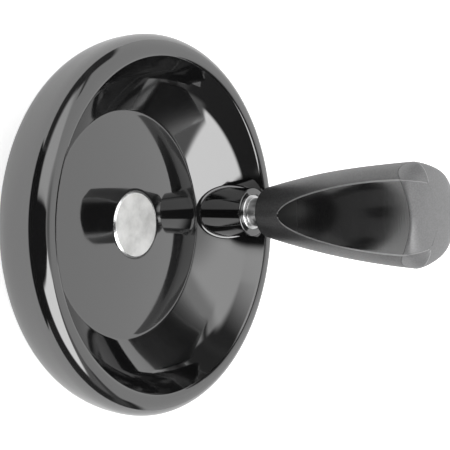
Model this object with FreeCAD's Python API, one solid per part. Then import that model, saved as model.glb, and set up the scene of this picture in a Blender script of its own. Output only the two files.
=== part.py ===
"""Machine handwheel, 100 mm across, with a revolving handle. Units are millimetres.

The wheel lies on its rear hub face. The origin is the centre of the bore's mouth in that
face, +Z is the wheel's axis towards the front, and the handle stands on the +X side.
"""

import FreeCAD, Part
import math
import os

# Wheel: rim and dish
wheel_radius = 50.0
rim_plane_z = 25.0          # height of the rim's widest circle above the rear hub face
rim_front_radial = 4.6      # half-axes of the rim's rounded front and back
rim_front_height = 5.8
rim_back_radial = 6.4
rim_back_depth = 12.2
rim_width = 6.1             # from the outside to the crisp edge where the dish begins
rim_edge_drop = 0.5         # how far that edge lies below the rim's crest
rim_edge_swell = 0.25       # bulge of the face between that edge and the crest
dish_wall_run = 13.7        # radial run of the dish wall, from that edge to the convex middle
dish_depth = 8.7            # depth of the wall's foot below the rim's widest circle
dish_wall_hollow = 1.3      # how far the dish wall sags behind its straight chord
middle_rise = 2.9           # height of the convex middle over its edge circle
wall = 4.4                  # thickness of the moulding behind dish and middle
rim_lip = 3.0               # radial step from the rim's back crest to the rear groove
rim_lip_rise = 1.5          # how far the step climbs from that crest
rim_lip_swell = 0.6
groove_corner = 1.5         # size of the rounded corner at the top of the groove
groove_corner_swell = 0.4

# Wheel: hub
hub_radius = 14.0
hub_chamfer = 1.0
hub_root_fillet = 3.0
bush_radius = 8.9
bush_proud = 0.3            # front face of the bush above the moulding round it
bush_chamfer = 0.5
bore_radius = 5.0
bore_depth = 16.0

# Wheel: boss that carries the handle
boss_inset = 12.2           # from the outside of the wheel to the handle's axis
boss_radius = 6.8
boss_height = 5.9           # boss face above the rim's widest circle
boss_back = 11.0            # rear end of the boss below the rim's widest circle
boss_face_round = 0.5
insert_radius = 4.9
insert_length = 14.0
insert_chamfer = 0.3
thread_radius = 3.0
thread_length = 11.0
thread_tip_chamfer = 0.6

# Spindle
collar_radius = 4.0
collar_gap = 4.6            # visible length of the collar, from boss face to grip
collar_chamfer = 0.3
journal_radius = 3.4
journal_clearance = 0.05
end_clearance = 0.2         # end play of the grip at the collar and at the washer
groove_depth = 0.9
groove_width = 0.9
tail_length = 1.6
spindle_chamfer = 0.4

# Washer and retaining ring
washer_radius = 5.6
washer_thickness = 0.8
washer_clearance = 0.1
ring_radius = 5.0
ring_clearance = 0.1
ring_opening = 2.6

# Grip and its cap
grip_length = 48.5          # from the small end to the seam
grip_small_radius = 7.2
grip_small_round = 1.6
grip_seam_radius = 14.4
grip_swell = 1.1            # how far the grip's side bulges over its straight chord
cap_height = 7.4            # where the three faces of the dome meet
cap_lobe_height = 9.4       # where the round lobes between them would meet
facet_count = 3
facet_turn = 180.0          # direction that the first facet faces, in degrees
facet_start = 8.8           # distance of a facet from the axis at its start
facet_start_height = 3.2    # where that distance is measured, from the small end
facet_end = 10.2            # distance of a facet from the axis at the seam
pocket_radius = 6.6         # hollow for washer and ring, closed by the cap
pocket_head_room = 4.0      # from the spindle's end to the plug
plug_length = 3.0

cutter_overrun = 1.0        # how far a cutting shape reaches past the solid that it cuts

# Places worked out from the sizes above
rim_edge_radius = wheel_radius - rim_width
dish_radius = rim_edge_radius - dish_wall_run
boss_offset = wheel_radius - boss_inset
rim_back_centre = wheel_radius - rim_back_radial
rim_front_centre = wheel_radius - rim_front_radial
crest_z = rim_plane_z + rim_front_height
edge_z = crest_z - rim_edge_drop
dish_z = rim_plane_z - dish_depth
middle_radius = (dish_radius ** 2 + middle_rise ** 2) / (2 * middle_rise)
middle_centre_z = dish_z + middle_rise - middle_radius
boss_z = rim_plane_z + boss_height
grip_z = boss_z + collar_gap
seam_z = grip_z + grip_length
tip_z = seam_z + cap_height
collar_z = grip_z - end_clearance
spindle_end_z = seam_z - plug_length - pocket_head_room
ring_z = spindle_end_z - tail_length - groove_width
washer_z = ring_z - washer_thickness
shoulder_z = washer_z - end_clearance


def at(radius, z):
    """A point of a section, drawn in the XZ plane."""
    return FreeCAD.Vector(radius, 0, z)


def line(start, end):
    return Part.makeLine(start, end)


def bulged(start, end, rise):
    """An arc from start to end that stands off the chord by rise, to the left of its way."""
    chord = end - start
    side = FreeCAD.Vector(-chord.z, 0, chord.x)
    side.normalize()
    middle = (start + end) * 0.5 + side * rise
    return Part.Arc(start, middle, end).toShape()


def quarter_ellipse(centre, half_radial, half_axial):
    """The quarter from the widest point to the crest, up or down by the sign of half_axial."""
    outermost = centre + at(half_radial, 0)
    crest = centre + at(0, half_axial)
    if abs(half_axial) >= half_radial:
        ellipse = Part.Ellipse(crest, outermost, centre)
    else:
        ellipse = Part.Ellipse(outermost, crest, centre)
    return Part.ArcOfEllipse(ellipse, 0, math.pi / 2).toShape()


def revolved(edges):
    """The solid that a closed section sweeps in a full turn about the Z axis."""
    section = Part.Face(Part.Wire(Part.__sortEdges__(edges)))
    return section.revolve(at(0, 0), at(0, 1), 360)


def turned(points):
    """A turned piece from the corners of its half section."""
    return revolved([line(a, b) for a, b in zip(points, points[1:] + points[:1])])


def on_handle_axis(shape):
    shape.translate(FreeCAD.Vector(boss_offset, 0, 0))
    return shape


def middle_z(radius):
    """Height of the convex middle at a radius."""
    return middle_centre_z + math.sqrt(middle_radius ** 2 - radius ** 2)


def wheel_section():
    """Half section of the moulding: hub, middle, dish wall, rim and rear groove."""
    bore_foot = at(bush_radius, 0)
    bore_top = at(bush_radius, middle_z(bush_radius))
    dish_corner = at(dish_radius, dish_z)
    edge = at(rim_edge_radius, edge_z)
    crest = at(rim_front_centre, crest_z)
    back_crest = at(rim_back_centre, rim_plane_z - rim_back_depth)
    slope = edge - dish_corner
    slope.normalize()
    behind = FreeCAD.Vector(slope.z, 0, -slope.x) * wall
    lip_radius = rim_back_centre - rim_lip
    wall_foot = dish_corner + behind
    wall_top = wall_foot + slope * ((lip_radius - groove_corner - wall_foot.x) / slope.x)
    lip_top = at(lip_radius, wall_top.z - groove_corner)
    lip_foot = at(lip_radius, back_crest.z + rim_lip_rise)
    hub_root = at(hub_radius, middle_z(hub_radius) - wall - hub_root_fillet)
    plate_root = at(hub_radius + hub_root_fillet, middle_z(hub_radius + hub_root_fillet) - wall)
    return [
        line(bore_foot, bore_top),
        bulged(bore_top, dish_corner, (dish_radius - bush_radius) ** 2 / (8 * middle_radius)),
        bulged(dish_corner, edge, -dish_wall_hollow),
        bulged(edge, crest, rim_edge_swell),
        quarter_ellipse(at(rim_front_centre, rim_plane_z), rim_front_radial, rim_front_height),
        quarter_ellipse(at(rim_back_centre, rim_plane_z), rim_back_radial, -rim_back_depth),
        bulged(back_crest, lip_foot, rim_lip_swell),
        line(lip_foot, lip_top),
        bulged(lip_top, wall_top, -groove_corner_swell),
        line(wall_top, wall_foot),
        line(wall_foot, plate_root),
        bulged(plate_root, hub_root, hub_root_fillet * (1 - math.sqrt(0.5))),
        line(hub_root, at(hub_radius, hub_chamfer)),
        line(at(hub_radius, hub_chamfer), at(hub_radius - hub_chamfer, 0)),
        line(at(hub_radius - hub_chamfer, 0), bore_foot),
    ]


def wheel_body():
    """One moulding: rim, dish wall, convex middle, hub and handle boss."""
    wheel = revolved(wheel_section())
    foot_z = rim_plane_z - boss_back
    centre = FreeCAD.Vector(boss_offset, 0, foot_z)
    boss = Part.makeCylinder(boss_radius, boss_z - foot_z, centre)
    face_edges = [e for e in boss.Edges if abs(e.CenterOfMass.z - boss_z) < 1e-6 and e.isClosed()]
    boss = boss.makeFillet(boss_face_round, face_edges)
    moulding = wheel.fuse(boss).removeSplitter()
    seat = Part.makeCylinder(insert_radius, insert_length + cutter_overrun,
                             FreeCAD.Vector(boss_offset, 0, boss_z - insert_length))
    return moulding.cut(seat)


def hub_bush():
    """Steel insert with a closed front face and a blind bore from the rear."""
    top = middle_z(bush_radius) + bush_proud
    return turned([
        at(0, bore_depth), at(bore_radius, bore_depth), at(bore_radius, 0), at(bush_radius, 0),
        at(bush_radius, top - bush_chamfer), at(bush_radius - bush_chamfer, top), at(0, top),
    ])


def boss_insert():
    """Threaded insert in the boss, flush with the boss face."""
    foot = boss_z - insert_length
    return on_handle_axis(turned([
        at(thread_radius, foot), at(insert_radius, foot), at(insert_radius, boss_z),
        at(thread_radius + insert_chamfer, boss_z), at(thread_radius, boss_z - insert_chamfer),
    ]))


def spindle():
    """Turned pin: thread, collar, journal, ring groove and tail."""
    groove_radius = journal_radius - groove_depth
    thread_foot = boss_z - thread_length
    return on_handle_axis(turned([
        at(0, thread_foot), at(thread_radius - thread_tip_chamfer, thread_foot),
        at(thread_radius, thread_foot + thread_tip_chamfer), at(thread_radius, boss_z),
        at(collar_radius - collar_chamfer, boss_z), at(collar_radius, boss_z + collar_chamfer),
        at(collar_radius, collar_z - collar_chamfer), at(collar_radius - collar_chamfer, collar_z),
        at(journal_radius, collar_z), at(journal_radius, ring_z),
        at(groove_radius, ring_z), at(groove_radius, ring_z + groove_width),
        at(journal_radius, ring_z + groove_width),
        at(journal_radius, spindle_end_z - spindle_chamfer),
        at(journal_radius - spindle_chamfer, spindle_end_z), at(0, spindle_end_z),
    ]))


def thrust_washer():
    inner = journal_radius + washer_clearance
    return on_handle_axis(turned([
        at(inner, washer_z), at(washer_radius, washer_z),
        at(washer_radius, ring_z), at(inner, ring_z),
    ]))


def retaining_ring():
    """Open snap ring in the spindle's groove."""
    inner = journal_radius - groove_depth
    top = ring_z + groove_width - ring_clearance
    ring = turned([at(inner, ring_z), at(ring_radius, ring_z), at(ring_radius, top), at(inner, top)])
    corner = FreeCAD.Vector(0, -ring_opening / 2, ring_z - cutter_overrun)
    opening = Part.makeBox(ring_radius + cutter_overrun, ring_opening,
                           groove_width + 2 * cutter_overrun, corner)
    return on_handle_axis(ring.cut(opening))


def facet_solid(turn):
    """All that lies inside one facet: flat along the grip, curved over the dome."""
    reach = 3 * grip_seam_radius
    taper = (facet_end - facet_start) / (grip_length - facet_start_height)
    foot = at(facet_start - taper * facet_start_height, grip_z)
    tip = at(0, tip_z)
    outline = Part.Wire([
        line(at(-reach, grip_z), foot), line(foot, at(facet_end, seam_z)),
        quarter_ellipse(at(0, seam_z), facet_end, cap_height), line(tip, at(-reach, tip_z)),
        line(at(-reach, tip_z), at(-reach, grip_z)),
    ])
    solid = Part.Face(outline).extrude(FreeCAD.Vector(0, 2 * reach, 0))
    solid.translate(FreeCAD.Vector(0, -reach, 0))
    solid.rotate(FreeCAD.Vector(0, 0, 0), FreeCAD.Vector(0, 0, 1), turn)
    return solid


def handle_form():
    """Grip and cap as one outer form, on the Z axis."""
    start = at(grip_small_radius, grip_z + grip_small_round)
    seam = at(grip_seam_radius, seam_z)
    crown = at(0, seam_z + cap_lobe_height)
    corner = at(grip_small_radius - grip_small_round, grip_z)
    round_rise = grip_small_round * (1 - math.sqrt(0.5))
    form = revolved([
        line(crown, at(0, grip_z)), line(at(0, grip_z), corner), bulged(corner, start, -round_rise),
        bulged(start, seam, -grip_swell),
        quarter_ellipse(at(0, seam_z), grip_seam_radius, cap_lobe_height),
    ])
    for index in range(facet_count):
        form = form.common(facet_solid(facet_turn + index * 360 / facet_count))
    return form


def layer(low, high, radius):
    return Part.makeCylinder(radius, high - low, at(0, low))


def grip():
    """Moulded grip with its journal bore and the pocket for washer and ring."""
    body = handle_form().common(layer(grip_z, seam_z, 2 * grip_seam_radius))
    body = body.cut(layer(grip_z - cutter_overrun, seam_z + cutter_overrun,
                           journal_radius + journal_clearance))
    body = body.cut(layer(shoulder_z, seam_z + cutter_overrun, pocket_radius))
    return on_handle_axis(body)


def grip_cap():
    """Domed end that closes the pocket with its plug."""
    dome = handle_form().common(layer(seam_z, tip_z, 2 * grip_seam_radius))
    plug = layer(seam_z - plug_length, seam_z, pocket_radius)
    return on_handle_axis(dome.fuse(plug).removeSplitter())


def main():
    os.makedirs("parts", exist_ok=True)
    wheel_body().exportStep("parts/wheel_body.step")
    hub_bush().exportStep("parts/hub_bush.step")
    boss_insert().exportStep("parts/boss_insert.step")
    spindle().exportStep("parts/spindle.step")
    thrust_washer().exportStep("parts/thrust_washer.step")
    retaining_ring().exportStep("parts/retaining_ring.step")
    grip().exportStep("parts/grip.step")
    grip_cap().exportStep("parts/grip_cap.step")


main()
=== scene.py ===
import bpy
import math
from mathutils import Matrix, Vector


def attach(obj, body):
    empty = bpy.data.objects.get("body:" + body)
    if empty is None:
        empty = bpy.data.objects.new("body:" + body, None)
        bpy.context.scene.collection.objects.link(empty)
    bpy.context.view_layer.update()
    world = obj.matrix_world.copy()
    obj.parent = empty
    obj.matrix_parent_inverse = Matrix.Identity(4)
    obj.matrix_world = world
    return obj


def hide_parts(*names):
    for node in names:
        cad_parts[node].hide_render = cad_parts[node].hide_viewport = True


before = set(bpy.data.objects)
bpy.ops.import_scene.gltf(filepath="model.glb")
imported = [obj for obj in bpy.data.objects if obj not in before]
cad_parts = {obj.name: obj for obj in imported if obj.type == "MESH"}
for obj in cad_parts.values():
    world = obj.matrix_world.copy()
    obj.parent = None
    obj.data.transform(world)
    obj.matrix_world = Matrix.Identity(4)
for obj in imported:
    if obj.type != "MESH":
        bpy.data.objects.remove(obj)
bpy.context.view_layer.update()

mm = 0.001

# The wheel's sizes, in mm, as in the solids
wheel_radius = 50.0
rim_plane_z = 25.0
rim_front_radial = 4.6
rim_front_height = 5.8
rim_back_radial = 6.4
rim_back_depth = 12.2
rim_width = 6.1
rim_edge_drop = 0.5
rim_edge_swell = 0.25
dish_wall_run = 13.7
dish_depth = 8.7
middle_rise = 2.9
wall = 4.4
rim_lip = 3.0
rim_lip_rise = 1.5
rim_lip_swell = 0.6
groove_corner = 1.5
groove_corner_swell = 0.4
hub_radius = 14.0
hub_chamfer = 1.0
hub_root_fillet = 3.0
bush_radius = 8.9
bush_proud = 0.3
bush_chamfer = 0.5
bore_radius = 5.0
bore_depth = 16.0
boss_offset = 37.8
boss_radius = 6.8
boss_z = 30.9
boss_back_z = 14.0
boss_face_round = 0.5
insert_radius = 4.9
insert_foot_z = 16.9
insert_chamfer = 0.3
thread_radius = 3.0
thread_foot_z = 19.9

# The handle's sizes, in mm, as in the solids
collar_radius = 4.0
collar_chamfer = 0.3
journal_radius = 3.4
journal_clearance = 0.05
grip_z = 35.5
seam_z = 84.0
collar_z = 35.3
ring_z = 74.5
ring_groove_top = 75.4
ring_groove_radius = 2.5
spindle_end_z = 77.0
shoulder_z = 73.5
grip_small_radius = 7.2
grip_small_round = 1.6
grip_seam_radius = 14.4
grip_swell = 1.1
facet_start = 8.8
facet_start_height = 3.2
facet_end = 10.2
facet_pitch = math.radians(120)
facet_directions = (math.radians(60), math.radians(180), math.radians(300))
pocket_radius = 6.6
plug_length = 3.0

# How the scene finishes the wheel, in mm
wall_cone_slope = math.radians(36.4)
wall_cone_hollow = 0.2
wall_bend_run = 5.4         # the cone bends up from this far inside the rim's edge
wall_knee_reach = 2.2
wall_bend_end_share = 0.62  # of the way from the edge back to the knee
boss_foot_fillet = 0.9
boss_mouth_chamfer = 0.25
boss_back_chamfer = 0.4
insert_edge = 0.2
bush_edge_round = 0.06
collar_edge_round = 0.08    # how far a lathe breaks the spindle's corners

# How the scene finishes the handle, in mm
dome_height = 5.8           # the cap's faces and lobes, a little rounder than in the solid
dome_lobe_height = 7.3
facet_edge_softness = 0.22
dome_edge_softness = 0.5
dome_ridge_softness = 1.6
facet_crown_radius = 36.0
facet_flare = 0.4           # how far the facets flare out over their upper half
least_half_angle = math.radians(4)    # of a facet, so that rows keep their columns
most_half_angle = math.radians(59)
seam_rise = 3.2             # how far the seam bows up in the middle of a facet
seam_fall = 2.0             # and down in the middle of a lobe
seam_bow_reach = 20.0       # how far below the seam the rows begin to bow
edge_line_start = 8.5       # the painted highlight lines fade out this far above the grip's small end
edge_line_width = 0.17      # half the width of the painted highlight line along a facet's edge
seam_edge_share = 0.006     # the seam's groove: how far its edge and its face draw in, as
seam_face_share = 0.03      # shares of the radius, and how deep the edge is broken
seam_edge_depth = 0.015

# Materials
polished_ior = 2.2          # high, because the polished black returns much of its surroundings
satin_ior = 2.0

# The photograph's camera, about the wheel's axis
photo_width_px = 450
focal_px = 1582.9
sensor_width_mm = 36.0
camera_distance = 416.0 * mm
camera_off_axis = math.radians(51.6)
camera_lift = math.radians(1.34)
camera_yaw = math.radians(-2.59)
handle_turn = math.radians(4.56)

# The floor, in metres and brightness
floor_size = 6
floor_z = -0.0002
dark_foot_start = 0.135     # the dark card's foot on the floor begins this far out
dark_foot_fade = 0.03
seen_glow = 0.75
mirrored_glow = 0.3

# Places worked out from the sizes above
rim_edge_radius = wheel_radius - rim_width
dish_radius = rim_edge_radius - dish_wall_run
rim_back_centre = wheel_radius - rim_back_radial
rim_front_centre = wheel_radius - rim_front_radial
crest_z = rim_plane_z + rim_front_height
edge_z = crest_z - rim_edge_drop
dish_z = rim_plane_z - dish_depth
middle_radius = (dish_radius ** 2 + middle_rise ** 2) / (2 * middle_rise)
middle_centre_z = dish_z + middle_rise - middle_radius
wheel_axis = (0, 0)
handle_axis = (boss_offset, 0)


# Sections, drawn as points (radius, height) in mm

def arc(start, end, rise, steps):
    """Points on an arc that stands off its chord by rise, to the left of its way."""
    start, end = Vector(start), Vector(end)
    half = (end - start).length / 2
    left = Vector((start.y - end.y, end.x - start.x)) / (2 * half)
    radius = (half ** 2 + rise ** 2) / (2 * rise)
    centre = (start + end) / 2 + left * (rise - radius)
    turn = -4 * math.atan(rise / half)
    return [centre + Matrix.Rotation(turn * k / steps, 2) @ (start - centre)
            for k in range(steps + 1)]


def quarter_ellipse(centre, half_radial, half_axial, steps):
    """Points from the widest point to the crest, up or down by the sign of half_axial."""
    angles = [math.pi / 2 * k / steps for k in range(steps + 1)]
    return [Vector((centre[0] + half_radial * math.cos(a), centre[1] + half_axial * math.sin(a)))
            for a in angles]


def beyond(tour, length):
    """What is left of a chain of points past a length from its start."""
    done = 0
    for index in range(len(tour) - 1):
        step = (tour[index + 1] - tour[index]).length
        if done + step > length:
            return [tour[index].lerp(tour[index + 1], (length - done) / step)] + tour[index + 1:]
        done += step


def bend(start, knee, end, steps):
    """Points on the curve that leaves start towards knee and reaches end from it."""
    points = []
    for k in range(steps + 1):
        t = k / steps
        points.append(start.lerp(knee, t).lerp(knee.lerp(end, t), t))
    return points


def softened(section, corner, size, steps=4):
    """The closed section with one corner rounded, size mm each way along it."""
    corner = Vector(corner)
    index = min(range(len(section)), key=lambda i: (section[i] - corner).length)
    tour = section[index:] + section[:index + 1]
    tour = beyond(beyond(tour, size)[::-1], size)[::-1]
    return tour + bend(tour[-1], corner, tour[0], steps)[1:-1]


def without_repeats(section):
    """The closed section without points that fall on the one before."""
    kept = []
    for point in section:
        point = Vector(point)
        if not kept or (point - kept[-1]).length > 1e-4:
            kept.append(point)
    if (kept[0] - kept[-1]).length < 1e-4:
        kept.pop()
    return kept


def middle_z(radius):
    """Height of the wheel's convex middle at a radius."""
    return middle_centre_z + math.sqrt(middle_radius ** 2 - radius ** 2)


wall_foot = Vector((dish_radius, dish_z))
wall_edge = Vector((rim_edge_radius, edge_z))
cone_run = dish_wall_run - wall_bend_run
wall_cone_rise = cone_run * math.tan(wall_cone_slope)
wall_cone = arc(wall_foot, wall_foot + Vector((cone_run, wall_cone_rise)), -wall_cone_hollow, 14)
wall_knee = wall_cone[-1] + (wall_cone[-1] - wall_cone[-2]).normalized() * wall_knee_reach
wall_bend = bend(wall_cone[-1], wall_knee, wall_edge.lerp(wall_knee, wall_bend_end_share), 16)
dish_wall = wall_cone + wall_bend[1:] + [wall_edge]
rim_top = arc(wall_edge, (rim_front_centre, crest_z), rim_edge_swell, 6)
rim_front = quarter_ellipse((rim_front_centre, rim_plane_z), rim_front_radial,
                            rim_front_height, 22)
front_face = dish_wall + rim_top[1:] + rim_front[-2::-1]


def front_z(radius):
    """Height of the wheel's front face at a radius on the dish wall or the rim."""
    for low, high in zip(front_face, front_face[1:]):
        if low.x <= radius <= high.x:
            return low.y + (high.y - low.y) * (radius - low.x) / (high.x - low.x)
    return front_face[0].y


# Modelling

def clear_selection():
    """Back to object mode with nothing selected."""
    if bpy.context.object and bpy.context.object.mode != "OBJECT":
        bpy.ops.object.mode_set(mode="OBJECT")
    bpy.ops.object.select_all(action="DESELECT")


def settle(name, smooth_angle):
    """Leave edit mode with a clean closed mesh, named and shaded."""
    bpy.ops.mesh.select_all(action="SELECT")
    bpy.ops.mesh.remove_doubles(threshold=0.002 * mm)
    bpy.ops.mesh.normals_make_consistent(inside=False)
    bpy.ops.object.mode_set(mode="OBJECT")
    piece = bpy.context.object
    piece.name = name
    piece.data.name = name
    bpy.ops.object.shade_smooth_by_angle(angle=math.radians(smooth_angle))
    return piece


def turned_piece(name, section, axis, steps=192):
    """A closed section spun about the wheel's or the handle's axis."""
    section = without_repeats(section)
    clear_selection()
    bpy.ops.mesh.primitive_circle_add(vertices=len(section), radius=mm, location=(0, 0, 0))
    ring = bpy.context.object
    for vertex, (radius, height) in zip(ring.data.vertices, section):
        vertex.co = ((axis[0] + radius) * mm, axis[1] * mm, height * mm)
    for edge in ring.data.edges:
        ends = [ring.data.vertices[v].co for v in edge.vertices]
        edge.select = all(abs(end.x - axis[0] * mm) < 1e-9 for end in ends)
    for vertex in ring.data.vertices:
        vertex.select = False
    bpy.ops.object.mode_set(mode="EDIT")
    bpy.ops.mesh.select_mode(type="EDGE")
    bpy.ops.mesh.delete(type="EDGE")
    bpy.ops.mesh.select_all(action="SELECT")
    centre = (axis[0] * mm, axis[1] * mm, 0)
    bpy.ops.mesh.spin(steps=steps, angle=2 * math.pi, center=centre, axis=(0, 0, 1))
    return settle(name, smooth_angle=30)


def joined(name, pieces):
    """Several meshes made one piece."""
    clear_selection()
    for piece in pieces:
        piece.select_set(True)
    bpy.context.view_layer.objects.active = pieces[0]
    bpy.ops.object.join()
    pieces[0].name = name
    return pieces[0]


def make_wheel():
    """The moulding: rim, dish wall, middle and rear hub as one spun form, and its boss."""
    lip_radius = rim_back_centre - rim_lip
    slope = Vector((rim_edge_radius - dish_radius, edge_z - dish_z)).normalized()
    under_foot = wall_foot + Vector((slope.y, -slope.x)) * wall
    wall_top = under_foot + slope * ((lip_radius - groove_corner - under_foot.x) / slope.x)
    back_crest = Vector((rim_back_centre, rim_plane_z - rim_back_depth))
    lip_foot = Vector((lip_radius, back_crest.y + rim_lip_rise))
    lip_top = Vector((lip_radius, wall_top.y - groove_corner))
    hub_root = Vector((hub_radius, middle_z(hub_radius) - wall - hub_root_fillet))
    plate_root = Vector((hub_radius + hub_root_fillet,
                         middle_z(hub_radius + hub_root_fillet) - wall))
    middle_steps = 26
    middle_points = [bush_radius + (dish_radius - bush_radius) * k / middle_steps
                     for k in range(middle_steps + 1)]
    section = [Vector((radius, middle_z(radius))) for radius in middle_points]
    section += front_face[1:]
    section += quarter_ellipse((rim_back_centre, rim_plane_z), rim_back_radial,
                               -rim_back_depth, 24)
    section += arc(back_crest, lip_foot, rim_lip_swell, 6)
    section += arc(lip_top, wall_top, -groove_corner_swell, 6)
    section += [under_foot]
    section += arc(plate_root, hub_root, hub_root_fillet * (1 - math.sqrt(0.5)), 8)
    section += [Vector((hub_radius, hub_chamfer)), Vector((hub_radius - hub_chamfer, 0)),
                Vector((bush_radius, 0))]
    section = without_repeats(section)
    rounded_corners = [
        ((bush_radius, middle_z(bush_radius)), 0.25), (wall_foot, 0.35), (wall_edge, 0.3),
        (lip_foot, 0.4), ((hub_radius, hub_chamfer), 0.2), ((hub_radius - hub_chamfer, 0), 0.2)]
    for corner, size in rounded_corners:
        section = softened(section, corner, size)
    body = turned_piece("wheel_moulding", section, wheel_axis, steps=256)
    return joined("wheel_moulding", [body, make_boss()])


def make_boss():
    """The handle's boss, whose foot flares out onto the dish wall."""
    fillet_steps = 6
    side_z = boss_z - boss_face_round
    section = [(0, insert_foot_z), (insert_radius, insert_foot_z),
               (insert_radius, boss_z - boss_mouth_chamfer),
               (insert_radius + boss_mouth_chamfer, boss_z)]
    section += quarter_ellipse((boss_radius - boss_face_round, side_z),
                               boss_face_round, boss_face_round, 6)[::-1]
    for k in range(fillet_steps + 1):
        swing = math.pi / 2 * k / fillet_steps
        section.append((boss_radius + boss_foot_fillet * (1 - math.cos(swing)),
                        boss_foot_fillet * (1 - math.sin(swing))))
    section += [(boss_radius + boss_foot_fillet, -0.4), (boss_radius, -0.8)]
    section += [(boss_radius, boss_back_z + boss_back_chamfer),
                (boss_radius - boss_back_chamfer, boss_back_z), (0, boss_back_z)]
    boss = turned_piece("boss", section, handle_axis, steps=128)

    # The foot was drawn from height 0; it is now laid on the wall, and kept under the boss's face
    highest_foot = side_z - 0.1
    for vertex in boss.data.vertices:
        above_wall = vertex.co.z / mm
        if above_wall < 2:
            wall_z = front_z(math.hypot(vertex.co.x, vertex.co.y) / mm)
            vertex.co.z = min(wall_z + above_wall, highest_foot + 0.05 * above_wall) * mm
    return boss


def make_bush():
    """The hub's steel bush, whose solid face shows in front and whose bore opens behind."""
    top = middle_z(bush_radius) + bush_proud
    section = [Vector(p) for p in [
        (0, bore_depth), (bore_radius, bore_depth), (bore_radius, 0), (bush_radius, 0),
        (bush_radius, top - bush_chamfer), (bush_radius - bush_chamfer, top), (0, top)]]
    for corner in ((bush_radius - bush_chamfer, top), (bush_radius, top - bush_chamfer)):
        section = softened(section, corner, bush_edge_round, 3)
    return turned_piece("hub_bush_steel", section, wheel_axis)


def make_insert():
    """The threaded steel insert in the boss."""
    section = [Vector(p) for p in [
        (thread_radius, insert_foot_z), (insert_radius, insert_foot_z),
        (insert_radius, boss_z - insert_edge), (insert_radius - insert_edge, boss_z),
        (thread_radius + insert_chamfer, boss_z), (thread_radius, boss_z - insert_chamfer)]]
    return turned_piece("boss_insert_steel", section, handle_axis)


def make_spindle():
    """The turned pin, with its corners broken as a lathe leaves them."""
    thread_chamfer = 0.6
    end_chamfer = 0.4
    corners = [(collar_radius - collar_chamfer, boss_z), (collar_radius, boss_z + collar_chamfer),
               (collar_radius, collar_z - collar_chamfer),
               (collar_radius - collar_chamfer, collar_z)]
    section = [Vector(p) for p in [
        (0, thread_foot_z), (thread_radius - thread_chamfer, thread_foot_z),
        (thread_radius, thread_foot_z + thread_chamfer), (thread_radius, boss_z), *corners,
        (journal_radius, collar_z), (journal_radius, ring_z),
        (ring_groove_radius, ring_z), (ring_groove_radius, ring_groove_top),
        (journal_radius, ring_groove_top), (journal_radius, spindle_end_z - end_chamfer),
        (journal_radius - end_chamfer, spindle_end_z), (0, spindle_end_z)]]
    for corner in corners:
        section = softened(section, corner, collar_edge_round, 3)
    return turned_piece("spindle_steel", section, handle_axis)


def lobe_radius(height):
    """Radius of the grip's round lobes at a height."""
    if height <= grip_z + grip_small_round:
        return interpolated(small_end, height)
    if height <= seam_z:
        return interpolated(grip_side, height)
    rise = min((height - seam_z) / dome_lobe_height, 1)
    return grip_seam_radius * math.sqrt(1 - rise ** 2)


def facet_distance(height):
    """Distance of a facet from the handle's axis at a height."""
    if height <= seam_z:
        taper = (facet_end - facet_start) / (seam_z - grip_z - facet_start_height)
        straight = facet_start + taper * (height - grip_z - facet_start_height)
        upper = max((height - grip_z) / (seam_z - grip_z) * 2 - 1, 0)
        return straight + facet_flare * upper ** 2
    rise = min((height - seam_z) / dome_height, 1)
    return (facet_end + facet_flare) * math.sqrt(1 - rise ** 2)


def interpolated(chain, height):
    """Radius of a chain of points at a height."""
    for low, high in zip(chain, chain[1:]):
        if low.y <= height <= high.y:
            share = (height - low.y) / (high.y - low.y)
            return low.x + (high.x - low.x) * share
    return chain[-1].x if height > chain[-1].y else chain[0].x


grip_start = (grip_small_radius, grip_z + grip_small_round)
small_corner = (grip_small_radius - grip_small_round, grip_z)
small_end = arc(small_corner, grip_start, -grip_small_round * (1 - math.sqrt(0.5)), 10)
grip_side = arc(grip_start, (grip_seam_radius, seam_z), -grip_swell, 60)


def softer_lesser(a, b, softness):
    """The lesser of two distances, with the corner between them rounded."""
    return (a + b - math.sqrt((a - b) ** 2 + softness ** 2)) / 2


def column_angles(height):
    """Angles of one row's points: dense beside the facet's edges, even between them."""
    lobe = lobe_radius(height)
    half = facet_half_angle(height)
    even = 8
    near = [0.10, 0.22, 0.38, 0.6, 0.9]
    room = 2 * near[-1]
    scale = min(1, half * lobe / room, (facet_pitch / 2 - half) * lobe / room)
    offsets = [d * scale / lobe for d in near]
    sector = [half * k / even * (1 - offsets[-1] / half) for k in range(even + 1)]
    sector += [half - d for d in offsets[-2::-1]] + [half] + [half + d for d in offsets]
    left = facet_pitch / 2 - sector[-1]
    sector += [sector[-1] + left * k / even for k in range(1, even + 1)]
    return sector


def facet_half_angle(height):
    """Angle from a facet's middle to its edge."""
    share = facet_distance(height) / lobe_radius(height)
    share = max(min(share, math.cos(least_half_angle)), math.cos(most_half_angle))
    return math.acos(share)


def crowned(angle, height):
    """Radius of a facet's slightly crowned face at an angle from its middle."""
    distance = facet_distance(height)
    width = distance * math.tan(facet_half_angle(height))
    crown = width ** 2 / (2 * facet_crown_radius)
    out = distance
    for _ in range(4):
        aside = out * math.tan(angle)
        out = distance + crown * max(1 - (aside / width) ** 2, 0)
    return out / math.cos(angle)


def row_radius(angle, height):
    """Radius at an angle from the nearest facet's middle: the least of lobe and facets."""
    lobe = lobe_radius(height)
    distance = facet_distance(height)
    flat = crowned(angle, height)
    next_flat = distance / max(math.cos(facet_pitch - angle), 0.05)
    rise = max(height - seam_z, 0)
    softness = facet_edge_softness + dome_edge_softness * min(rise / 3, 1)
    both_flats = softer_lesser(flat, next_flat, min(dome_ridge_softness, 0.3 * distance))
    return softer_lesser(lobe, both_flats, min(softness, 0.3 * lobe))


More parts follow.
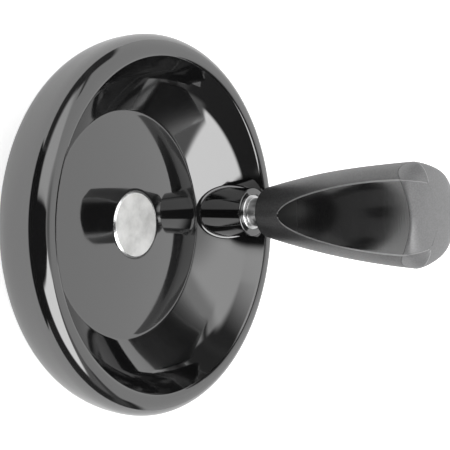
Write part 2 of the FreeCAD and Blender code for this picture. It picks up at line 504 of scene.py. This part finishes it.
def seam_bow(angle, height):
    """How far points near the seam stand above their row on a facet, or below it on a lobe."""
    half = facet_half_angle(height)
    if height < seam_z:
        fade = max(1 - (seam_z - height) / seam_bow_reach, 0)
        fade = fade ** 2 * (3 - 2 * fade)
    else:
        fade = max(1 - (height - seam_z) / dome_height, 0)
    if angle < half:
        return seam_rise * fade * (1 - (angle / half) ** 2)
    return -seam_fall * fade * math.sin(math.pi / 2 * (angle - half) / (facet_pitch / 2 - half))


def handle_row(height):
    """One row of points round the handle, in the wheel's frame."""
    sector = column_angles(height)
    angles = [-a for a in sector[:0:-1]] + sector[:-1]
    row = []
    for direction in facet_directions:
        for angle in angles:
            radius = row_radius(abs(angle), height)
            place = direction + angle
            row.append(Vector((boss_offset + radius * math.cos(place), radius * math.sin(place),
                               height + seam_bow(abs(angle), height))) * mm)
    return row


def drawn_in(row, share, lift=0.0):
    """A row drawn towards the handle's axis by a share of its radius, and lifted in mm."""
    return [p.lerp(Vector((boss_offset * mm, 0, p.z)), share) + Vector((0, 0, lift * mm))
            for p in row]


def lofted_piece(name, rows):
    """A ring extruded row by row, each row then put in its place, closed at both ends."""
    count = len(rows[0])
    clear_selection()
    bpy.ops.mesh.primitive_circle_add(vertices=count, radius=mm, location=(0, 0, 0))
    bpy.ops.object.mode_set(mode="EDIT")
    for row in rows[1:]:
        bpy.ops.mesh.extrude_region_move(TRANSFORM_OT_translate={"value": (0, 0, mm)})
    bpy.ops.object.mode_set(mode="OBJECT")
    piece = bpy.context.object
    for row_index, row in enumerate(rows):
        for column, place in enumerate(row):
            piece.data.vertices[row_index * count + column].co = place
    bpy.ops.object.mode_set(mode="EDIT")
    return settle(name, smooth_angle=40)


def round_row(radius, height, like):
    """A row on a circle, with its points at the angles of another row."""
    row = []
    for place in like:
        angle = math.atan2(place.y, place.x - boss_offset * mm)
        row.append(Vector((boss_offset + radius * math.cos(angle),
                           radius * math.sin(angle), height)) * mm)
    return row


def make_grip():
    """The three-sided grip: outer rows up, then the seam face and the bore back down."""
    corner_steps = 8
    side_rows = 92
    row_gap = 0.5
    bore_chamfer = 0.3
    heights = [grip_z + grip_small_round * (1 - math.cos(math.pi / 2 * k / corner_steps))
               for k in range(corner_steps + 1)]
    heights += [grip_z + grip_small_round + row_gap * k for k in range(1, side_rows + 1)]
    heights += [seam_z - drop for drop in (0.3, 0.15, 0.06)]
    outer = [handle_row(h) for h in heights]
    seam_row = handle_row(seam_z)
    edge = drawn_in(seam_row, seam_edge_share, -seam_edge_depth)
    face = drawn_in(seam_row, seam_face_share)
    bore = journal_radius + journal_clearance
    inner = [round_row(radius, height, seam_row) for radius, height in (
        (pocket_radius, seam_z), (pocket_radius, shoulder_z), (bore, shoulder_z),
        (bore, grip_z + bore_chamfer), (bore + bore_chamfer, grip_z))]
    return lofted_piece("grip_moulding", outer + [edge, face] + inner + [outer[0]])


def make_cap():
    """The domed end, with its plug inside the grip's pocket."""
    steps = 26
    rises = [0.06, 0.15, 0.3]
    rises += [dome_height * math.sin(math.pi / 2 * k / steps) for k in range(2, steps)]
    outer = [handle_row(seam_z + rise) for rise in rises]
    seam_row = handle_row(seam_z)
    edge = drawn_in(seam_row, seam_edge_share, seam_edge_depth)
    face = drawn_in(seam_row, seam_face_share)
    plug_top = round_row(pocket_radius, seam_z, seam_row)
    plug_foot = round_row(pocket_radius, seam_z - plug_length, seam_row)
    plug_centre = [Vector((boss_offset, 0, seam_z - plug_length)) * mm] * len(seam_row)
    apex = [Vector((boss_offset, 0, seam_z + dome_height)) * mm] * len(seam_row)
    return lofted_piece("grip_cap_moulding",
                        [plug_centre, plug_foot, plug_top, face, edge] + outer + [apex])


# Stage

def add_camera():
    """The camera looks at the wheel's front from the side away from the handle."""
    along = Vector((math.cos(handle_turn), -math.sin(handle_turn), 0))
    up = Vector((math.sin(handle_turn), math.cos(handle_turn), 0))
    axis = Vector((0, 0, 1))
    level_back = math.cos(camera_off_axis) * axis - math.sin(camera_off_axis) * along
    back = level_back * math.cos(camera_lift) + math.sin(camera_lift) * up
    place = Vector((0, 0, rim_plane_z * mm)) + camera_distance * back
    right = up.cross(back).normalized()
    top = back.cross(right)
    yaw = Matrix.Rotation(camera_yaw, 3, top)
    turned = Matrix((yaw @ right, top, yaw @ back)).transposed()
    data = bpy.data.cameras.new("photo_camera")
    data.sensor_width = sensor_width_mm
    data.lens = focal_px / photo_width_px * sensor_width_mm
    data.clip_start = 0.01
    camera = bpy.data.objects.new("photo_camera", data)
    camera.matrix_world = Matrix.Translation(place) @ turned.to_4x4()
    bpy.context.scene.collection.objects.link(camera)
    bpy.context.scene.camera = camera


def math_node(tree, operation, first, second=None):
    """One Math node's output, from sockets or plain numbers."""
    node = tree.nodes.new("ShaderNodeMath")
    node.operation = operation
    for index, value in enumerate((first, second)):
        if value is None:
            continue
        if isinstance(value, (int, float)):
            node.inputs[index].default_value = value
        else:
            tree.links.new(value, node.inputs[index])
    return node.outputs[0]


def ramp(tree, value, low, high):
    """0 below low and 1 above high, smooth between, also downhill where low is the higher."""
    node = tree.nodes.new("ShaderNodeMapRange")
    node.interpolation_type = "SMOOTHSTEP"
    node.inputs["From Min"].default_value = low
    node.inputs["From Max"].default_value = high
    tree.links.new(value, node.inputs["Value"])
    return node.outputs["Result"]


def separated(tree, vector):
    """The X, Y and Z sockets of a vector."""
    parts = tree.nodes.new("ShaderNodeSeparateXYZ")
    tree.links.new(vector, parts.inputs[0])
    return parts.outputs


def axis_distance(tree, x, y):
    """Distance from the Z axis."""
    squares = math_node(tree, "ADD", math_node(tree, "MULTIPLY", x, x),
                        math_node(tree, "MULTIPLY", y, y))
    return math_node(tree, "SQRT", squares)


def between(tree, mask, low, high):
    """A number between low and high, by a mask from 0 to 1."""
    span = math_node(tree, "MULTIPLY", mask, high - low)
    return math_node(tree, "ADD", span, low)


def blend_colour(tree, mask, low, high):
    """A colour between two others, by a mask. The first may be a socket."""
    mix = tree.nodes.new("ShaderNodeMix")
    mix.data_type = "RGBA"
    tree.links.new(mask, mix.inputs["Factor"])
    for name, colour in (("A", low), ("B", high)):
        socket = [s for s in mix.inputs if s.name == name and s.type == "RGBA"][0]
        if isinstance(colour, tuple):
            socket.default_value = (*colour, 1)
        else:
            tree.links.new(colour, socket)
    return [s for s in mix.outputs if s.type == "RGBA"][0]


def add_floor():
    """A pale floor that shows white to the camera and keeps a faint shadow.

    In reflections the dark card's foot lies on it, on the camera's side."""
    clear_selection()
    bpy.ops.mesh.primitive_plane_add(size=floor_size, location=(0, 0, floor_z))
    floor = bpy.context.object
    floor.name = "floor"
    material = bpy.data.materials.new("pale_floor")
    material.use_nodes = True
    tree = material.node_tree
    nodes, links = tree.nodes, tree.links
    nodes.clear()
    output = nodes.new("ShaderNodeOutputMaterial")
    diffuse = nodes.new("ShaderNodeBsdfDiffuse")
    glow = nodes.new("ShaderNodeEmission")
    both = nodes.new("ShaderNodeAddShader")
    rays = nodes.new("ShaderNodeLightPath")
    place = nodes.new("ShaderNodeTexCoord")
    x, y, z = separated(tree, place.outputs["Object"])
    beside = math_node(tree, "DIVIDE", math_node(tree, "ABSOLUTE", y),
                       math_node(tree, "ABSOLUTE", x))
    foot = math_node(tree, "MULTIPLY",
                     ramp(tree, x, -dark_foot_start, -dark_foot_start - dark_foot_fade),
                     ramp(tree, beside, 1.1, 0.95))
    hidden = math_node(tree, "MULTIPLY", foot, rays.outputs["Is Glossy Ray"])
    colour = blend_colour(tree, hidden, (0.8, 0.8, 0.8), (0.02, 0.02, 0.02))
    seen = math_node(tree, "MAXIMUM", rays.outputs["Is Camera Ray"],
                     rays.outputs["Is Transmission Ray"])
    mirrored = math_node(tree, "MULTIPLY", rays.outputs["Is Glossy Ray"],
                         between(tree, hidden, mirrored_glow, 0.0))
    strength = math_node(tree, "MAXIMUM", math_node(tree, "MULTIPLY", seen, seen_glow), mirrored)
    links.new(colour, diffuse.inputs["Color"])
    links.new(strength, glow.inputs["Strength"])
    links.new(diffuse.outputs[0], both.inputs[0])
    links.new(glow.outputs[0], both.inputs[1])
    links.new(both.outputs[0], output.inputs["Surface"])
    floor.data.materials.append(material)


def card(tree, azimuth, elevation, sides, heights, soft):
    """A mask that is 1 inside a card's range of azimuth and elevation, in degrees."""
    edges = [ramp(tree, azimuth, sides[0] - soft, sides[0] + soft),
             ramp(tree, azimuth, sides[1] + soft, sides[1] - soft),
             ramp(tree, elevation, heights[0] - soft, heights[0] + soft),
             ramp(tree, elevation, heights[1] + soft, heights[1] - soft)]
    mask = edges[0]
    for edge in edges[1:]:
        mask = math_node(tree, "MULTIPLY", mask, edge)
    return mask


# The light tent round the wheel: range of azimuth from the -X side towards +Y, range of
# elevation, softness of the edges, all in degrees, and the brightness inside
tent_brightness = 1.05
tent_cards = [
    ((-200, 200), (80, 100), 8, 0.5),       # the tent's top
    ((-125, -22), (0, 27), 3, 0.07),        # gap under the main softbox
    ((45, 118), (0, 26), 3, 0.09),          # gap under the second softbox
    ((-91, -30), (27, 76), 3, 4.0),         # main softbox
    ((22, 84), (21, 70), 6, 1.75),          # second softbox
    ((-112, -91), (20, 76), 4, 0.45),       # dim strip beside the main softbox
    ((-118, -108), (5, 48), 3, 0.2),        # gaps between the softboxes and the tent's far side
    ((94, 100), (3, 45), 3, 0.12),
    ((-29, 20), (10, 74), 3, 0.02),         # dark card behind the camera
    ((-46, 46), (-20, 19), 3, 0.02),        # its wider foot
]


def add_light():
    """A light tent with two softboxes, a dark card behind the camera and gaps between them."""
    world = bpy.data.worlds.new("studio")
    world.use_nodes = True
    tree = world.node_tree
    place = tree.nodes.new("ShaderNodeTexCoord")
    x, y, z = separated(tree, place.outputs["Generated"])
    around = math_node(tree, "ARCTAN2", y, math_node(tree, "MULTIPLY", x, -1.0))
    azimuth = math_node(tree, "MULTIPLY", around, 180 / math.pi)
    elevation = math_node(tree, "MULTIPLY", math_node(tree, "ARCSINE", z), 180 / math.pi)
    brightness = None
    for sides, heights, soft, level in tent_cards:
        mask = card(tree, azimuth, elevation, sides, heights, soft)
        blend = tree.nodes.new("ShaderNodeMix")
        tree.links.new(mask, blend.inputs["Factor"])
        if brightness is None:
            blend.inputs["A"].default_value = tent_brightness
        else:
            tree.links.new(brightness, blend.inputs["A"])
        blend.inputs["B"].default_value = level
        brightness = blend.outputs["Result"]
    background = tree.nodes["Background"]
    background.inputs["Color"].default_value = (1, 1, 1, 1)
    tree.links.new(brightness, background.inputs["Strength"])
    bpy.context.scene.world = world


def new_group(name, inputs, outputs):
    """An empty shader node group with named sockets: (name, type, default value)."""
    group = bpy.data.node_groups.new(name, "ShaderNodeTree")
    for socket_name, socket_type, value in inputs:
        socket = group.interface.new_socket(socket_name, in_out="INPUT", socket_type=socket_type)
        if value is not None:
            socket.default_value = value
    for socket_name, socket_type in outputs:
        group.interface.new_socket(socket_name, in_out="OUTPUT", socket_type=socket_type)
    return group, group.nodes.new("NodeGroupInput"), group.nodes.new("NodeGroupOutput")


def make_grain_group():
    """Fine grain with a slow cloudy change under it, for moulded and blasted faces."""
    group, start, end = new_group(
        "surface_grain",
        [("Vector", "NodeSocketVector", None), ("Grain Scale", "NodeSocketFloat", 5000.0),
         ("Cloud Scale", "NodeSocketFloat", 90.0)],
        [("Grain", "NodeSocketFloat"), ("Clouds", "NodeSocketFloat")])
    for scale_socket, output, detail in (("Grain Scale", "Grain", 2.0),
                                         ("Cloud Scale", "Clouds", 4.0)):
        noise = group.nodes.new("ShaderNodeTexNoise")
        noise.inputs["Detail"].default_value = detail
        group.links.new(start.outputs["Vector"], noise.inputs["Vector"])
        group.links.new(start.outputs[scale_socket], noise.inputs["Scale"])
        group.links.new(noise.outputs["Fac"], end.inputs[output])
    return group


def make_turning_group():
    """Fine rings about the Z axis, as a turning tool leaves them on faces and along a shank."""
    group, start, end = new_group(
        "turning_marks",
        [("Vector", "NodeSocketVector", None), ("Pitch", "NodeSocketFloat", 0.00012)],
        [("Height", "NodeSocketFloat")])
    x, y, z = separated(group, start.outputs["Vector"])
    along = math_node(group, "ADD", axis_distance(group, x, y), z)
    turns = math_node(group, "DIVIDE", along, start.outputs["Pitch"])
    noise = group.nodes.new("ShaderNodeTexNoise")
    noise.noise_dimensions = "1D"
    noise.inputs["Scale"].default_value = 1.0
    noise.inputs["Detail"].default_value = 3.0
    group.links.new(turns, noise.inputs["W"])
    group.links.new(noise.outputs["Fac"], end.inputs["Height"])
    return group


def make_edge_highlight_group():
    """A mask of the sharp outer edges, broken up in patches by noise, for a painted highlight
    along them.
    """
    group, start, end = new_group(
        "painted_edge_highlight_mask",
        [("Vector", "NodeSocketVector", None), ("Sharpness", "NodeSocketFloat", 0.54)],
        [("Mask", "NodeSocketFloat")])
    geometry = group.nodes.new("ShaderNodeNewGeometry")
    excess = math_node(group, "SUBTRACT", geometry.outputs["Pointiness"],
                       start.outputs["Sharpness"])
    edge = ramp(group, excess, 0.0, 0.06)
    noise = group.nodes.new("ShaderNodeTexNoise")
    noise.inputs["Scale"].default_value = 900.0
    group.links.new(start.outputs["Vector"], noise.inputs["Vector"])
    patches = ramp(group, noise.outputs["Fac"], 0.35, 0.6)
    group.links.new(math_node(group, "MULTIPLY", edge, patches), end.inputs["Mask"])
    return group


grain_group = make_grain_group()
turning_group = make_turning_group()
edge_highlight_group = make_edge_highlight_group()


def use_group(tree, group, vector, **values):
    """A group's node in a material, with its values set."""
    node = tree.nodes.new("ShaderNodeGroup")
    node.node_tree = group
    tree.links.new(vector, node.inputs["Vector"])
    for name, value in values.items():
        node.inputs[name.replace("_", " ")].default_value = value
    return node


def finish(tree, shader, colour, roughness):
    """Give the shader its colour and roughness."""
    tree.links.new(colour, shader.inputs["Base Color"])
    tree.links.new(roughness, shader.inputs["Roughness"])


def relief(tree, shader, height, depth_mm, strength):
    """Bump the shader's normal by a height."""
    bump = tree.nodes.new("ShaderNodeBump")
    bump.inputs["Strength"].default_value = strength
    bump.inputs["Distance"].default_value = depth_mm * mm
    tree.links.new(height, bump.inputs["Height"])
    tree.links.new(bump.outputs["Normal"], shader.inputs["Normal"])


def new_material(name, metallic=0.0, ior=1.5, centre=wheel_axis):
    """A material, its shader, and Object coordinates about the wheel's or handle's axis."""
    material = bpy.data.materials.new(name)
    material.use_nodes = True
    tree = material.node_tree
    shader = tree.nodes["Principled BSDF"]
    shader.inputs["Metallic"].default_value = metallic
    shader.inputs["IOR"].default_value = ior
    place = tree.nodes.new("ShaderNodeTexCoord")
    mapping = tree.nodes.new("ShaderNodeMapping")
    mapping.inputs["Location"].default_value = (-centre[0] * mm, -centre[1] * mm, 0)
    tree.links.new(place.outputs["Object"], mapping.inputs["Vector"])
    return material, tree, shader, mapping.outputs["Vector"]


def make_wheel_black():
    """Polished black thermoset, nearly mirror-like, with a faint moulded waviness and painted
    highlights on its sharp edges.
    """
    material, tree, shader, vector = new_material("polished_thermoset", ior=polished_ior)
    grain = use_group(tree, grain_group, vector, Grain_Scale=2600.0, Cloud_Scale=55.0)
    highlit_edges = use_group(tree, edge_highlight_group, vector, Sharpness=0.56)
    black = blend_colour(tree, grain.outputs["Clouds"],
                         (0.004, 0.004, 0.0042), (0.009, 0.009, 0.0092))
    # Painted highlight: the sharp edges are lightened from black to grey, as if they caught the
    # light
    colour = blend_colour(tree, highlit_edges.outputs["Mask"], black, (0.05, 0.05, 0.05))
    smudges = ramp(tree, grain.outputs["Clouds"], 0.35, 0.75)
    finish(tree, shader, colour, between(tree, smudges, 0.035, 0.085))
    relief(tree, shader, grain.outputs["Clouds"], 0.012, 0.35)
    return material


def make_satin(name, low, high, grain_depth_mm):
    """Satin moulded black with a fine leathery grain, from a darker to a lighter level."""
    material, tree, shader, vector = new_material(name, ior=satin_ior, centre=handle_axis)
    grain = use_group(tree, grain_group, vector, Grain_Scale=2300.0, Cloud_Scale=120.0)
    speckle = ramp(tree, grain.outputs["Grain"], 0.3, 0.7)
    colour = blend_colour(tree, speckle, (low, low, low * 1.02), (high, high, high * 1.02))
    finish(tree, shader, colour, between(tree, grain.outputs["Clouds"], 0.38, 0.52))
    relief(tree, shader, grain.outputs["Grain"], grain_depth_mm, 0.7)
    return material


def make_facet_gloss():
    """The facets, pressed smoother than the rest, with fine marks along them, and rubbed
    dull towards the grip's small end."""
    material, tree, shader, vector = new_material("polished_facet", ior=polished_ior,
                                                  centre=handle_axis)
    stretch = tree.nodes.new("ShaderNodeMapping")
    stretch.inputs["Scale"].default_value = (0.06, 0.06, 1.0)
    tree.links.new(vector, stretch.inputs["Vector"])
    marks = use_group(tree, grain_group, stretch.outputs["Vector"],
                      Grain_Scale=3000.0, Cloud_Scale=260.0)
    colour = blend_colour(tree, marks.outputs["Clouds"],
                          (0.003, 0.003, 0.0031), (0.008, 0.008, 0.0082))
    x, y, z = separated(tree, vector)
    rubbed = ramp(tree, z, (grip_z + 26) * mm, (grip_z + 9) * mm)
    rough = math_node(tree, "ADD", between(tree, marks.outputs["Clouds"], 0.08, 0.17),
                      math_node(tree, "MULTIPLY", rubbed, 0.22))
    finish(tree, shader, colour, rough)
    tree.links.new(between(tree, rubbed, 0.5, 0.12), shader.inputs["Specular IOR Level"])
    relief(tree, shader, marks.outputs["Grain"], 0.004, 0.5)
    return material


def make_facet_highlight():
    """A painted highlight: the light line along a facet's edge, where its rounded edge catches the
    light.
    """
    material, tree, shader, vector = new_material("painted_facet_edge_highlight", ior=satin_ior, centre=handle_axis)
    grain = use_group(tree, grain_group, vector, Grain_Scale=3000.0, Cloud_Scale=200.0)
    # Painted highlight: light grey stands in for the light that the rounded edge catches
    colour = blend_colour(tree, grain.outputs["Clouds"], (0.2, 0.2, 0.2), (0.36, 0.36, 0.36))
    finish(tree, shader, colour, between(tree, grain.outputs["Grain"], 0.25, 0.4))
    return material


def make_blasted_steel():
    """Fine blasted steel on the hub's face, bright and smooth on its turned chamfer."""
    material, tree, shader, vector = new_material("blasted_steel", metallic=1.0)
    grain = use_group(tree, grain_group, vector, Grain_Scale=3600.0, Cloud_Scale=170.0)
    x, y, z = separated(tree, vector)
    chamfer_start = (bush_radius - bush_chamfer) * mm
    chamfer = ramp(tree, axis_distance(tree, x, y), chamfer_start - 0.08 * mm,
                   chamfer_start + 0.04 * mm)
    clouds = ramp(tree, grain.outputs["Clouds"], 0.3, 0.72)
    face = blend_colour(tree, clouds, (0.6, 0.6, 0.59), (0.84, 0.84, 0.83))
    colour = blend_colour(tree, chamfer, face, (0.92, 0.92, 0.92))
    rough_face = between(tree, grain.outputs["Grain"], 0.5, 0.8)
    smooth = math_node(tree, "SUBTRACT", 1.0, chamfer)
    rough = math_node(tree, "ADD", math_node(tree, "MULTIPLY", rough_face, smooth),
                      math_node(tree, "MULTIPLY", chamfer, 0.22))
    finish(tree, shader, colour, rough)
    grains = math_node(tree, "MULTIPLY", grain.outputs["Grain"], smooth)
    relief(tree, shader, grains, 0.03, 0.8)
    return material


def make_turned_steel():
    """Bright turned steel with fine tool rings."""
    material, tree, shader, vector = new_material("turned_steel", metallic=1.0, centre=handle_axis)
    marks = use_group(tree, turning_group, vector, Pitch=0.00011)
    grain = use_group(tree, grain_group, vector, Grain_Scale=2500.0, Cloud_Scale=300.0)
    colour = blend_colour(tree, marks.outputs["Height"], (0.55, 0.55, 0.55), (0.82, 0.82, 0.82))
    finish(tree, shader, colour, between(tree, grain.outputs["Clouds"], 0.24, 0.36))
    relief(tree, shader, marks.outputs["Height"], 0.012, 0.8)
    return material


def make_spring_steel():
    """Dark oiled spring steel of the retaining ring."""
    material, tree, shader, vector = new_material("oiled_spring_steel", metallic=1.0,
                                                  centre=handle_axis)
    grain = use_group(tree, grain_group, vector, Grain_Scale=2500.0, Cloud_Scale=400.0)
    colour = blend_colour(tree, grain.outputs["Clouds"], (0.14, 0.14, 0.15), (0.3, 0.3, 0.32))
    finish(tree, shader, colour, between(tree, grain.outputs["Grain"], 0.3, 0.45))
    return material


def place_piece(piece, node, body, materials):
    """Put a finished piece in a CAD node's stead."""
    for material in materials:
        piece.data.materials.append(material)
    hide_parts(node)
    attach(piece, body)


def mark_facets(piece, facet_index, edge_index):
    """Give the facets, and the painted highlight lines along their edges, their own materials."""
    for face in piece.data.polygons:
        x, y, z = face.center / mm
        radius = math.hypot(x - boss_offset, y)
        lobe = lobe_radius(z)
        inside = radius < pocket_radius + 0.1 or z < grip_z + 0.2
        if inside or facet_distance(z) > lobe - 0.02:
            continue
        angle = math.atan2(y, x - boss_offset)
        aside = min(abs((angle - d + math.pi) % (2 * math.pi) - math.pi)
                    for d in facet_directions)
        half = facet_half_angle(z)
        over = (aside - half) * lobe
        lined = half < most_half_angle and z > grip_z + edge_line_start
        if lined and abs(over) < edge_line_width:
            face.material_index = edge_index
        elif over < 0:
            face.material_index = facet_index


add_camera()
add_floor()
add_light()
grip_satin = make_satin("satin_moulding", 0.018, 0.055, 0.07)
facet_gloss = make_facet_gloss()
facet_edge = make_facet_highlight()
# Painted light: the cap gets a lighter copy of the grip's satin black, for the brighter light on
# its dome
lit_cap_satin = make_satin("satin_cap_painted_lighter", 0.11, 0.15, 0.02)
steel = make_turned_steel()
wheel = make_wheel()
grip = make_grip()
cap = make_cap()
place_piece(wheel, "wheel_body", "wheel", [make_wheel_black()])
place_piece(make_bush(), "hub_bush", "wheel", [make_blasted_steel()])
place_piece(make_insert(), "boss_insert", "wheel", [steel])
place_piece(make_spindle(), "spindle", "wheel", [steel])
place_piece(grip, "grip", "handle", [grip_satin, facet_gloss, facet_edge])
place_piece(cap, "grip_cap", "handle", [lit_cap_satin, facet_edge])
mark_facets(grip, facet_index=1, edge_index=2)
mark_facets(cap, facet_index=0, edge_index=1)
for node, material in (("thrust_washer", steel), ("retaining_ring", make_spring_steel())):
    for slot in bpy.data.objects[node].material_slots:
        slot.material = material
bpy.context.scene.view_settings.view_transform = "Standard"
